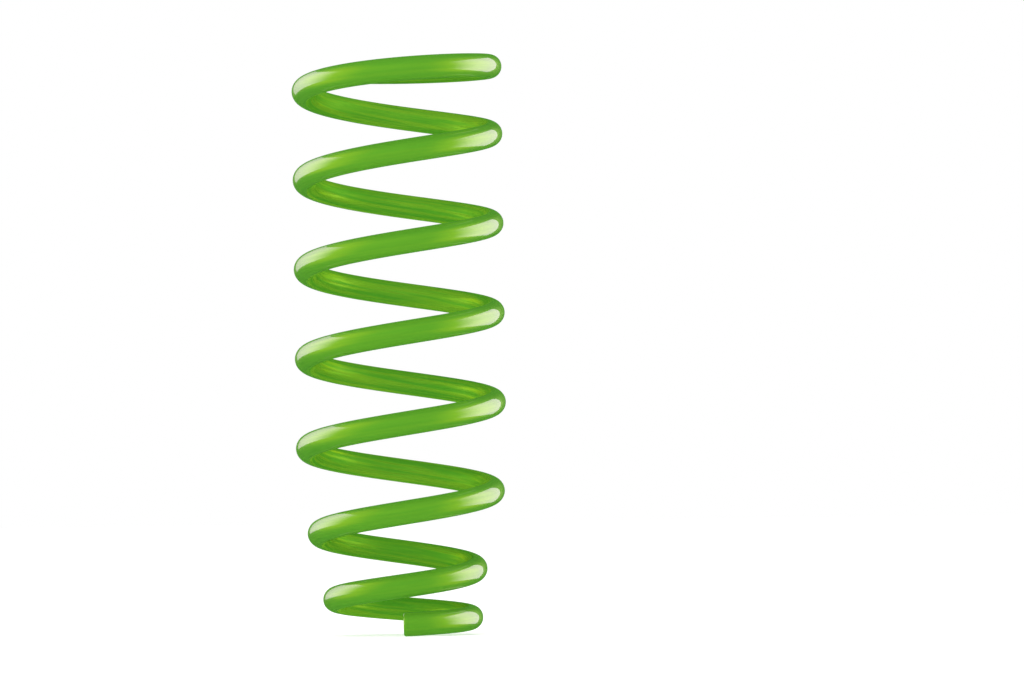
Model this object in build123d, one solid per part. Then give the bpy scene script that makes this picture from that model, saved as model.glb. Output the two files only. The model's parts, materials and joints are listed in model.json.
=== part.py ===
from build123d import *
import math
import os

# A helical compression spring for a car's suspension, coiled from one round steel bar.
#
# The bar starts at the lower end, which faces the front (-Y), and climbs to the right (+X), so the
# coil is right-handed. The lower end is drawn in to a smaller diameter and sits on the axle or arm.
# The upper end is full size and laid almost flat under the body's spring seat.
#
# The bar gives by twisting. It is therefore built as quarter-turn lengths that meet on square cuts,
# and each length can twist against the next one about the bar's own axis.
# Turns are counted along the bar from the tip of the lower end.

# Bar and coil
BAR_DIAMETER = 16.0
COIL_RADIUS = 62.5          # to the centre of the bar, in the working coils
END_RADIUS = 45.5           # the same, in the drawn-in lower end
TOTAL_TURNS = 7.55

# The drawn-in end opens out to the full coil between these turns
NECK_START = 0.73
NECK_END = 2.58

# Rise per turn
WORKING_PITCH = 60.0
TIP_PITCH = 10.0            # at the lower tip
OPENING_TURNS = 2.84        # the pitch grows to its full value over these first turns
CLOSING_START = 6.53        # and falls to nothing from here
CLOSING_TURNS = 0.97

# How the bar is divided
LENGTH_TURNS = 0.25
CUT_WIDTH = 0.06            # parts each length from the next, so that they turn without rubbing
SIDES = ("front", "right", "back", "left")  # where the middles of the lengths lie
LAST_QUARTER = 29           # the last whole length is centred this many quarter turns from the tip

# Details
TIP_ROUNDING = 1.5          # the sheared ends are dressed round at their edge
SPANS_PER_LENGTH = 6        # points that a length's centreline passes through, less one


def radius_at(turn):
    """Coil radius to the centre of the bar."""
    share = min(max((turn - NECK_START) / (NECK_END - NECK_START), 0.0), 1.0)
    eased = share * share * (3.0 - 2.0 * share)
    return END_RADIUS + (COIL_RADIUS - END_RADIUS) * eased


def height_at(turn):
    """Height of the bar's centre above the lowest point of the spring."""
    opening = min(turn, OPENING_TURNS)
    left = 1.0 - opening / OPENING_TURNS
    lost = (WORKING_PITCH - TIP_PITCH) * OPENING_TURNS / 3.0 * (1.0 - left**3)
    even = min(max(turn, OPENING_TURNS), CLOSING_START) - OPENING_TURNS
    closing = min(max((turn - CLOSING_START) / CLOSING_TURNS, 0.0), 1.0)
    closed = CLOSING_TURNS * (closing - closing**3 + closing**4 / 2.0)
    return BAR_DIAMETER / 2.0 + WORKING_PITCH * (opening + even + closed) - lost


def centre_at(turn):
    """The centre of the bar's section, a number of turns along from the lower tip."""
    angle = 2.0 * math.pi * turn
    reach = radius_at(turn)
    return Vector(reach * math.sin(angle), -reach * math.cos(angle), height_at(turn))


def direction_at(turn):
    """The bar's own direction there, pointing to the upper end."""
    step = 1e-4
    return (centre_at(turn + step) - centre_at(turn - step)).normalized()


def half_cut(turn):
    """Half the width of a cut there, in turns."""
    return CUT_WIDTH / 2.0 / (2.0 * math.pi * radius_at(turn))


def bar_length(start, end):
    """One length of bar between two square cuts."""
    turns = [start + (end - start) * i / SPANS_PER_LENGTH for i in range(SPANS_PER_LENGTH + 1)]
    line = Edge.make_spline(
        [centre_at(turn) for turn in turns],
        tangents=[direction_at(start), direction_at(end)],
    )
    section = Plane(origin=line @ 0, z_dir=line % 0) * Circle(BAR_DIAMETER / 2.0)
    return sweep(section, path=line)


def round_tip(length, turn):
    """Rounds off the edge of a sheared end."""
    face = length.faces().filter_by(GeomType.PLANE).sort_by_distance(centre_at(turn))[0]
    return fillet(face.edges(), TIP_ROUNDING)


def write(name, solid):
    solid.label = name
    export_step(solid, f"parts/{name}.step")


os.makedirs("parts", exist_ok=True)

first_cut = LENGTH_TURNS / 2.0
last_cut = (LAST_QUARTER + 0.5) * LENGTH_TURNS

write("lower_end_tip", round_tip(bar_length(0.0, first_cut - half_cut(first_cut)), 0.0))

for quarter in range(1, LAST_QUARTER + 1):
    middle = quarter * LENGTH_TURNS
    start = middle - LENGTH_TURNS / 2.0
    end = middle + LENGTH_TURNS / 2.0
    coil = int(middle) + 1
    length = bar_length(start + half_cut(start), end - half_cut(end))
    write(f"coil_{coil}_{SIDES[quarter % 4]}", length)

upper_tip = bar_length(last_cut + half_cut(last_cut), TOTAL_TURNS)
write("upper_end_tip", round_tip(upper_tip, TOTAL_TURNS))
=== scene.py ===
import json
import math

import bpy
from mathutils import Matrix, Vector


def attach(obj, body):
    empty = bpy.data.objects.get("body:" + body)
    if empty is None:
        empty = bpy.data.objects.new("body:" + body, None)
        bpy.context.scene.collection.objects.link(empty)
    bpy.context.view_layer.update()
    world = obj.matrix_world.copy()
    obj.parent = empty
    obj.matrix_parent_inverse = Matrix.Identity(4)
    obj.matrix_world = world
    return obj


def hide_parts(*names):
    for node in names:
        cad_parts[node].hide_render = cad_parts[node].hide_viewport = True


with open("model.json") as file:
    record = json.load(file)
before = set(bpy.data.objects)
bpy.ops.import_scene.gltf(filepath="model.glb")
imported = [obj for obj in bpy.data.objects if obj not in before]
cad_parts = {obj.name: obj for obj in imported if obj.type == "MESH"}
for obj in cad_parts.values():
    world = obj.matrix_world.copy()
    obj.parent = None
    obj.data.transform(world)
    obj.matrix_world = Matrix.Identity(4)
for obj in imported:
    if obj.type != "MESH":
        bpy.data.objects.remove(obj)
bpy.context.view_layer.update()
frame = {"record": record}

# --- Lower end coil -----------------------------------------------------------------------------
# The whole spring is one round bar of silicon steel, wound hot on a mandrel, quenched and
# shot-peened. Its lower end is drawn in, and beds in the lower seat. The tip is sheared off square
# and dressed round at its edge. A gloss green powder coat covers it all, the sheared face included.

BAR_RADIUS = 0.008
COIL_RADIUS = 0.0625                    # to the centre of the bar, in the working coils
END_RADIUS = 0.0455                     # the same, in the drawn-in end
NECK_TURNS = (0.73, 2.58)               # where the drawn-in end opens out to the full coil
TOTAL_TURNS = 7.55
WORKING_PITCH = 0.060
TIP_PITCH = 0.010
OPENING_TURNS = 2.84                    # the pitch grows to its full value over these first turns
CLOSING_START = 6.53                    # and falls to nothing from here
CLOSING_TURNS = 0.97
FIRST_CUT = 0.125                       # turns from the lower tip to the first cut
QUARTER_TURN = 0.25                     # from each cut to the next
RINGS_PER_TURN = 288
SIDES_ROUND = 56
TIP_ROUNDING = 0.0015
TIP_STEPS = 6                           # rings over the rounded edge of a sheared tip
TIP_CLEARANCE = 1.5                     # plain rings stop this many roundings short of a tip


def coil_radius(turn):
    """The coil's radius to the centre of the bar, a number of turns from the lower tip."""
    share = min(max((turn - NECK_TURNS[0]) / (NECK_TURNS[1] - NECK_TURNS[0]), 0.0), 1.0)
    return END_RADIUS + (COIL_RADIUS - END_RADIUS) * share * share * (3.0 - 2.0 * share)


def bar_height(turn):
    """The height of the bar's centre above the floor."""
    opening = min(turn, OPENING_TURNS)
    left = 1.0 - opening / OPENING_TURNS
    lost = (WORKING_PITCH - TIP_PITCH) * OPENING_TURNS / 3.0 * (1.0 - left**3)
    even = min(max(turn, OPENING_TURNS), CLOSING_START) - OPENING_TURNS
    closing = min(max((turn - CLOSING_START) / CLOSING_TURNS, 0.0), 1.0)
    closed = CLOSING_TURNS * (closing - closing**3 + closing**4 / 2.0)
    return BAR_RADIUS + WORKING_PITCH * (opening + even + closed) - lost


def bar_centre(turn):
    angle = 2.0 * math.pi * turn
    reach = coil_radius(turn)
    return Vector((reach * math.sin(angle), -reach * math.cos(angle), bar_height(turn)))


def bar_section(turn):
    """The bar's centre, its direction, and the two directions across it: outward and downward."""
    step = 1e-4
    along = (bar_centre(turn + step) - bar_centre(turn - step)).normalized()
    angle = 2.0 * math.pi * turn
    outward = Vector((math.sin(angle), -math.cos(angle), 0.0))
    outward = (outward - along * outward.dot(along)).normalized()
    return bar_centre(turn), along, outward, along.cross(outward)


def bar_rings(start, end):
    """Rings of the bar as (turn, radius, shift along the bar, tilt of the surface to its end)."""
    count = max(2, round((end - start) * RINGS_PER_TURN))
    turns = [start + (end - start) * i / count for i in range(count + 1)]
    edge = []
    for i in range(TIP_STEPS + 1):
        tilt = math.pi / 2.0 * i / TIP_STEPS
        drawn_in = BAR_RADIUS - TIP_ROUNDING * (1.0 - math.cos(tilt))
        edge.append((drawn_in, TIP_ROUNDING * (1.0 - math.sin(tilt)), tilt))
    clear = TIP_CLEARANCE * TIP_ROUNDING / (2.0 * math.pi * END_RADIUS)
    rounded_start, rounded_end = [], []
    if start == 0.0:
        turns = [turn for turn in turns if turn > clear]
        rounded_start = [(start, radius, back, -tilt) for radius, back, tilt in reversed(edge)]
    if end == TOTAL_TURNS:
        turns = [turn for turn in turns if turn < end - clear]
        rounded_end = [(end, radius, -back, tilt) for radius, back, tilt in edge]
    return rounded_start + [(turn, BAR_RADIUS, 0.0, 0.0) for turn in turns] + rounded_end


def bar_piece(name, start, end):
    """A closed mesh of one length of bar, with true surface normals, so lengths meet unseen."""
    rings = bar_rings(start, end)
    vertices, normals, places = [], [], []
    for turn, radius, shift, tilt in rings:
        centre, along, outward, downward = bar_section(turn)
        distance = 2.0 * math.pi * COIL_RADIUS * turn
        for k in range(SIDES_ROUND):
            around = 2.0 * math.pi * k / SIDES_ROUND
            across = outward * math.cos(around) + downward * math.sin(around)
            vertices.append(centre + along * shift + across * radius)
            normals.append(across * math.cos(tilt) + along * math.sin(tilt))
            places.append((distance, BAR_RADIUS * math.cos(around), BAR_RADIUS * math.sin(around)))
    faces = []
    for r in range(len(rings) - 1):
        for k in range(SIDES_ROUND):
            a = r * SIDES_ROUND + k
            b = r * SIDES_ROUND + (k + 1) % SIDES_ROUND
            faces.append((a, b, b + SIDES_ROUND, a + SIDES_ROUND))
    corner_normals = [normals[i] for face in faces for i in face]
    last = (len(rings) - 1) * SIDES_ROUND
    faces.append(tuple(reversed(range(SIDES_ROUND))))
    faces.append(tuple(range(last, last + SIDES_ROUND)))
    corner_normals += [-bar_section(start)[1]] * SIDES_ROUND
    corner_normals += [bar_section(end)[1]] * SIDES_ROUND
    mesh = bpy.data.meshes.new(name)
    mesh.from_pydata(vertices, [], faces)
    mesh.polygons.foreach_set("use_smooth", [True] * len(faces))
    mesh.normals_split_custom_set(corner_normals)
    place = mesh.attributes.new("bar_place", "FLOAT_VECTOR", "POINT")
    place.data.foreach_set("vector", [value for spot in places for value in spot])
    piece = bpy.data.objects.new(name, mesh)
    bpy.context.scene.collection.objects.link(piece)
    return piece


def powder_film():
    """The film's own unevenness, as a group: where it is thin, its streaks of roughness and of
    painted sheen, and its peel.
    """
    group = bpy.data.node_groups.new("powder_film", "ShaderNodeTree")
    for socket in ("Thin", "Streak_And_Painted_Sheen", "Peel"):
        group.interface.new_socket(socket, in_out="OUTPUT", socket_type="NodeSocketFloat")
    nodes, links = group.nodes, group.links
    result = nodes.new("NodeGroupOutput")

    # Sprayed powder reaches the faces that look in at the coil's axis least
    place = nodes.new("ShaderNodeTexCoord")
    level = nodes.new("ShaderNodeVectorMath")
    level.operation = "MULTIPLY"
    level.inputs[1].default_value = (1.0, 1.0, 0.0)
    radial = nodes.new("ShaderNodeVectorMath")
    radial.operation = "NORMALIZE"
    facing = nodes.new("ShaderNodeVectorMath")
    facing.operation = "DOT_PRODUCT"
    thin = nodes.new("ShaderNodeMapRange")
    thin.interpolation_type = "SMOOTHSTEP"
    thin.inputs["From Min"].default_value = 0.10
    thin.inputs["From Max"].default_value = -0.25
    links.new(place.outputs["Object"], level.inputs[0])
    links.new(level.outputs["Vector"], radial.inputs[0])
    links.new(radial.outputs["Vector"], facing.inputs[0])
    links.new(place.outputs["Normal"], facing.inputs[1])
    links.new(facing.outputs["Value"], thin.inputs["Value"])
    links.new(thin.outputs["Result"], result.inputs["Thin"])

    # The powder flows out along the bar as it melts, which leaves faint streaks in its gloss. The
    # same streaks are painted sheen in the colour: lighter lime, strongest on the faces turned in at
    # the axis, they stand in for reflections of neighbouring coils and lights
    bar = nodes.new("ShaderNodeAttribute")
    bar.attribute_name = "bar_place"
    drawn = nodes.new("ShaderNodeVectorMath")
    drawn.operation = "MULTIPLY"
    drawn.inputs[1].default_value = (12.0, 420.0, 420.0)    # long along the bar, fine across it
    streak_and_sheen_noise = nodes.new("ShaderNodeTexNoise")
    streak_and_sheen_noise.inputs["Scale"].default_value = 1.0
    streak_and_sheen_noise.inputs["Detail"].default_value = 3.0
    streak_and_sheen_noise.inputs["Roughness"].default_value = 0.55
    sharper = nodes.new("ShaderNodeMapRange")
    sharper.interpolation_type = "SMOOTHSTEP"
    sharper.inputs["From Min"].default_value = 0.36
    sharper.inputs["From Max"].default_value = 0.66
    links.new(bar.outputs["Vector"], drawn.inputs[0])
    links.new(drawn.outputs["Vector"], streak_and_sheen_noise.inputs["Vector"])
    # The painted sheen, and the roughness streaks with it, weigh most on the faces turned in at the
    # axis
    where_thin = nodes.new("ShaderNodeMapRange")
    where_thin.inputs["To Min"].default_value = 0.25
    streak_and_sheen = nodes.new("ShaderNodeMath")
    streak_and_sheen.operation = "MULTIPLY"
    links.new(streak_and_sheen_noise.outputs["Fac"], sharper.inputs["Value"])
    links.new(thin.outputs["Result"], where_thin.inputs["Value"])
    links.new(sharper.outputs["Result"], streak_and_sheen.inputs[0])
    links.new(where_thin.outputs["Result"], streak_and_sheen.inputs[1])
    links.new(streak_and_sheen.outputs["Value"], result.inputs["Streak_And_Painted_Sheen"])

    # Orange peel
    peel = nodes.new("ShaderNodeTexNoise")
    peel.inputs["Scale"].default_value = 300.0
    peel.inputs["Detail"].default_value = 1.5
    links.new(place.outputs["Object"], peel.inputs["Vector"])
    links.new(peel.outputs["Fac"], result.inputs["Peel"])
    return group


def powder_coat():
    """Gloss green powder coat: fine metal flake in the colour, under a clear hard surface, with
    painted sheen streaked into the colour.
    """
    material = bpy.data.materials.new("green_powder_coat")
    material.use_nodes = True
    nodes, links = material.node_tree.nodes, material.node_tree.links
    paint = nodes["Principled BSDF"]
    paint.inputs["Metallic"].default_value = 0.30
    paint.inputs["Specular Tint"].default_value = (0.90, 1.0, 0.05, 1.0)
    paint.inputs["Coat IOR"].default_value = 1.9
    film = nodes.new("ShaderNodeGroup")
    film.node_tree = powder_film()

    def between(source, socket, low, high):
        span = nodes.new("ShaderNodeMapRange")
        span.inputs["To Min"].default_value = low
        span.inputs["To Max"].default_value = high
        links.new(film.outputs[source], span.inputs["Value"])
        links.new(span.outputs["Result"], paint.inputs[socket])

    between("Thin", "Coat Weight", 1.0, 0.0)
    between("Thin", "Coat Roughness", 0.02, 0.35)
    between("Thin", "Specular IOR Level", 1.0, 0.0)
    between("Streak_And_Painted_Sheen", "Roughness", 0.48, 0.20)
    # Painted sheen: along the streaks the base colour turns from green to a lighter lime, a painted
    # reflection of neighbouring coils and lights
    shade = nodes.new("ShaderNodeMix")
    shade.data_type = "RGBA"
    shade.inputs["A"].default_value = (0.104, 0.388, 0.027, 1.0)
    shade.inputs["B"].default_value = (0.225, 0.490, 0.030, 1.0)
    links.new(film.outputs["Streak_And_Painted_Sheen"], shade.inputs["Factor"])
    links.new(shade.outputs["Result"], paint.inputs["Base Color"])
    bump = nodes.new("ShaderNodeBump")
    bump.inputs["Strength"].default_value = 0.05
    bump.inputs["Distance"].default_value = 0.0004
    links.new(film.outputs["Peel"], bump.inputs["Height"])
    links.new(bump.outputs["Normal"], paint.inputs["Normal"])
    links.new(bump.outputs["Normal"], paint.inputs["Coat Normal"])
    return material


coat = powder_coat()
body_of = {
    node: body
    for body, members in frame["record"]["behaviour"]["bodies"].items()
    for node in members
}


def dress(node, start, end):
    """Makes a length of bar in its green coat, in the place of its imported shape."""
    piece = bar_piece(f"{node}_bar", start, end)
    piece.data.materials.append(coat)
    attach(piece, body_of[node])
    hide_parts(node)


def dress_quarters(nodes, start):
    """Dresses lengths of a quarter turn each, and returns the turn where the last one ends."""
    for node in nodes:
        dress(node, start, start + QUARTER_TURN)
        start += QUARTER_TURN
    return start


dress("lower_end_tip", 0.0, FIRST_CUT)
lower_end = dress_quarters(("coil_1_right", "coil_1_back"), FIRST_CUT)

# --- Opening coils ------------------------------------------------------------------------------
# From the drawn-in end the bar climbs, and opens out over nearly two turns to the full coil.
# It is the same bar, wound on the tapered nose of the mandrel.

OPENING_COILS = ("coil_1_left", "coil_2_front", "coil_2_right", "coil_2_back", "coil_2_left",
                 "coil_3_front", "coil_3_right", "coil_3_back")

opening_end = dress_quarters(OPENING_COILS, lower_end)

# --- Working coils ------------------------------------------------------------------------------
# A little over four full-size turns that take up most of the travel, evenly pitched but near either
# end. As the spring shortens, the bar twists about its own axis, a little in every quarter turn.

SIDES = ("front", "right", "back", "left")
WORKING_COILS = ["coil_3_left"] + [f"coil_{coil}_{side}" for coil in (4, 5, 6, 7) for side in SIDES]

working_end = dress_quarters(WORKING_COILS, opening_end)

# --- Upper end coil -----------------------------------------------------------------------------
# The last two thirds of a turn is laid almost flat, to bear on the body's spring seat.
# It ends in the other sheared tip.

last_cut = dress_quarters(("coil_8_front", "coil_8_right"), working_end)
dress("upper_end_tip", last_cut, TOTAL_TURNS)

# --- Studio -------------------------------------------------------------------------------------
# A pale floor that runs on into a pale surround, a large softbox behind the spring on each side with
# a dimmer lime one round its near edge, and two wide fill lights that keep the shadows open.

CENTRE = Vector((0.0, 0.0, 0.195))      # half way up the spring, on its axis
SOFTBOX_DISTANCE = 1.5


def bearing(azimuth, elevation):
    """The direction from the spring at an angle round from the front and an angle up."""
    level = math.cos(math.radians(elevation))
    turned = math.radians(azimuth)
    rise = math.sin(math.radians(elevation))
    return Vector((math.sin(turned) * level, -math.cos(turned) * level, rise))


def set_up(thing, direction, distance, facing):
    """Stands a light off from the spring, with its own Z axis turned to face a given way."""
    thing.location = CENTRE + direction * distance
    thing.rotation_mode = "QUATERNION"
    thing.rotation_quaternion = facing.to_track_quat("Z", "Y")


def softbox(name, azimuth, elevation, wide, high, strength, color, fade, far_share, softness):
    """A softbox of so many degrees each way, fading in over a share of its width from one side."""
    half_width = SOFTBOX_DISTANCE * math.tan(math.radians(wide / 2.0))
    half_height = SOFTBOX_DISTANCE * math.tan(math.radians(high / 2.0))
    mesh = bpy.data.meshes.new(name)
    corners = [(-half_width, -half_height, 0.0), (half_width, -half_height, 0.0),
               (half_width, half_height, 0.0), (-half_width, half_height, 0.0)]
    mesh.from_pydata(corners, [], [(0, 1, 2, 3)])
    box = bpy.data.objects.new(name, mesh)
    bpy.context.scene.collection.objects.link(box)
    direction = bearing(azimuth, elevation)
    set_up(box, direction, SOFTBOX_DISTANCE, -direction)
    material = bpy.data.materials.new(name)
    material.use_nodes = True
    nodes, links = material.node_tree.nodes, material.node_tree.links
    nodes.clear()
    out = nodes.new("ShaderNodeOutputMaterial")
    glow = nodes.new("ShaderNodeEmission")
    clear = nodes.new("ShaderNodeBsdfTransparent")
    both = nodes.new("ShaderNodeAddShader")
    glow.inputs["Color"].default_value = color
    place = nodes.new("ShaderNodeTexCoord")
    split = nodes.new("ShaderNodeSeparateXYZ")
    dark_edge = -half_width if fade > 0.0 else half_width
    bright_edge = dark_edge + fade * 2.0 * half_width
    links.new(place.outputs["Object"], split.inputs["Vector"])

    def across(axis, start, end, low, high, shape):
        span = nodes.new("ShaderNodeMapRange")
        span.interpolation_type = shape
        span.inputs["From Min"].default_value = start
        span.inputs["From Max"].default_value = end
        span.inputs["To Min"].default_value = low
        span.inputs["To Max"].default_value = high
        links.new(split.outputs[axis], span.inputs["Value"])
        return span.outputs["Result"]

    inner = half_height * (1.0 - softness)
    power = across("X", dark_edge, bright_edge, 0.0, strength, "SMOOTHSTEP")
    for share in (across("X", bright_edge, -dark_edge, 1.0, far_share, "SMOOTHSTEP"),
                  across("Y", -half_height, -inner, 0.0, 1.0, "SMOOTHSTEP"),
                  across("Y", half_height, inner, 0.0, 1.0, "SMOOTHSTEP")):
        product = nodes.new("ShaderNodeMath")
        product.operation = "MULTIPLY"
        links.new(power, product.inputs[0])
        links.new(share, product.inputs[1])
        power = product.outputs["Value"]
    links.new(power, glow.inputs["Strength"])
    links.new(glow.outputs["Emission"], both.inputs[0])
    links.new(clear.outputs["BSDF"], both.inputs[1])
    links.new(both.outputs["Shader"], out.inputs["Surface"])
    mesh.materials.append(material)
    box.visible_camera = False
    box.visible_diffuse = False
    box.visible_shadow = False


PALE_PINK = (1.0, 0.68, 1.0, 1.0)      # reads as white over the green coat
LIME = (1.0, 0.80, 0.0, 1.0)
softbox("softbox_left", azimuth=-113.0, elevation=15.0, wide=82.0, high=56.0, strength=2.1,
        color=PALE_PINK, fade=0.50, far_share=0.45, softness=0.06)
softbox("softbox_right", azimuth=101.0, elevation=8.0, wide=80.0, high=68.0, strength=2.4,
        color=PALE_PINK, fade=-0.52, far_share=0.85, softness=0.06)
softbox("gel_left", azimuth=-82.0, elevation=12.0, wide=100.0, high=112.0, strength=0.65,
        color=LIME, fade=0.50, far_share=0.0, softness=0.60)
softbox("gel_right", azimuth=82.0, elevation=5.0, wide=100.0, high=112.0, strength=0.65,
        color=LIME, fade=-0.50, far_share=0.0, softness=0.60)


def fill(name, azimuth, elevation, distance, size, power):
    """A wide soft lamp that doesn't show in the coat's reflections."""
    data = bpy.data.lights.new(name, "AREA")
    data.shape = "DISK"
    data.size = size
    data.energy = power
    lamp = bpy.data.objects.new(name, data)
    bpy.context.scene.collection.objects.link(lamp)
    direction = bearing(azimuth, elevation)
    set_up(lamp, direction, distance, direction)
    lamp.visible_glossy = False


fill("fill_front", azimuth=-10.0, elevation=25.0, distance=2.5, size=2.0, power=20.0)
fill("fill_top", azimuth=0.0, elevation=80.0, distance=2.2, size=2.5, power=10.0)


def surround():
    """Pale to the eye and to the shadows, and dim green in reflections, as a shaded room is."""
    world = bpy.data.worlds.new("studio")
    world.use_nodes = True
    nodes, links = world.node_tree.nodes, world.node_tree.links
    nodes.clear()
    out = nodes.new("ShaderNodeOutputWorld")
    path = nodes.new("ShaderNodeLightPath")

    def shade(color, strength):
        background = nodes.new("ShaderNodeBackground")
        background.inputs["Color"].default_value = color
        background.inputs["Strength"].default_value = strength
        return background.outputs["Background"]

    for_shadows = shade((1.0, 1.0, 1.0, 1.0), 0.7)
    for_reflections = shade((0.25, 0.9, 0.10, 1.0), 0.35)
    for_the_eye = shade((1.0, 1.0, 1.0, 1.0), 1.0)
    mirrored = nodes.new("ShaderNodeMixShader")
    seen = nodes.new("ShaderNodeMixShader")
    links.new(path.outputs["Is Glossy Ray"], mirrored.inputs["Fac"])
    links.new(for_shadows, mirrored.inputs[1])
    links.new(for_reflections, mirrored.inputs[2])
    links.new(path.outputs["Is Camera Ray"], seen.inputs["Fac"])
    links.new(mirrored.outputs["Shader"], seen.inputs[1])
    links.new(for_the_eye, seen.inputs[2])
    links.new(seen.outputs["Shader"], out.inputs["Surface"])
    return world


bpy.context.scene.world = surround()

FLOOR_REACH = 30.0
floor_mesh = bpy.data.meshes.new("floor")
floor_mesh.from_pydata([(-FLOOR_REACH, -FLOOR_REACH, 0.0), (FLOOR_REACH, -FLOOR_REACH, 0.0),
                        (FLOOR_REACH, FLOOR_REACH, 0.0), (-FLOOR_REACH, FLOOR_REACH, 0.0)],
                       [], [(0, 1, 2, 3)])
floor = bpy.data.objects.new("floor", floor_mesh)
bpy.context.scene.collection.objects.link(floor)
floor_material = bpy.data.materials.new("pale_floor")
floor_material.use_nodes = True
floor_paint = floor_material.node_tree.nodes["Principled BSDF"]
floor_paint.inputs["Base Color"].default_value = (0.88, 0.88, 0.88, 1.0)
floor_paint.inputs["Roughness"].default_value = 1.0
floor_paint.inputs["Specular IOR Level"].default_value = 0.0
floor_paint.inputs["Emission Color"].default_value = (1.0, 1.0, 1.0, 1.0)
floor_paint.inputs["Emission Strength"].default_value = 0.50
floor_mesh.materials.append(floor_material)
floor.visible_glossy = False

# --- Camera -------------------------------------------------------------------------------------
# A long lens, well back and low, with the spring a little left of the middle.

CAMERA_DISTANCE = 4.57
EYE_HEIGHT = 0.0863
FOCAL_LENGTH = 239.7                    # in millimetres, on a sensor 36 mm wide
LEAN = 0.01277                          # the camera's roll, in radians
AIM_RIGHT = 0.01614                     # how far to the right it looks, per metre ahead
AIM_UP = 0.02426                        # and how far up

camera_data = bpy.data.cameras.new("camera")
camera_data.lens = FOCAL_LENGTH
camera_data.sensor_width = 36.0
camera_data.clip_end = 100.0
camera = bpy.data.objects.new("camera", camera_data)
bpy.context.scene.collection.objects.link(camera)
right = Vector((math.cos(LEAN), 0.0, -math.sin(LEAN)))
up = Vector((math.sin(LEAN), 0.0, math.cos(LEAN)))
ahead = (Vector((0.0, 1.0, 0.0)) + right * AIM_RIGHT + up * AIM_UP).normalized()
right = (right - ahead * right.dot(ahead)).normalized()
up = right.cross(ahead)
turned = Matrix((right, up, -ahead)).transposed().to_4x4()
camera.matrix_world = Matrix.Translation((0.0, -CAMERA_DISTANCE, EYE_HEIGHT)) @ turned
bpy.context.scene.camera = camera
bpy.context.scene.view_settings.view_transform = "Standard"
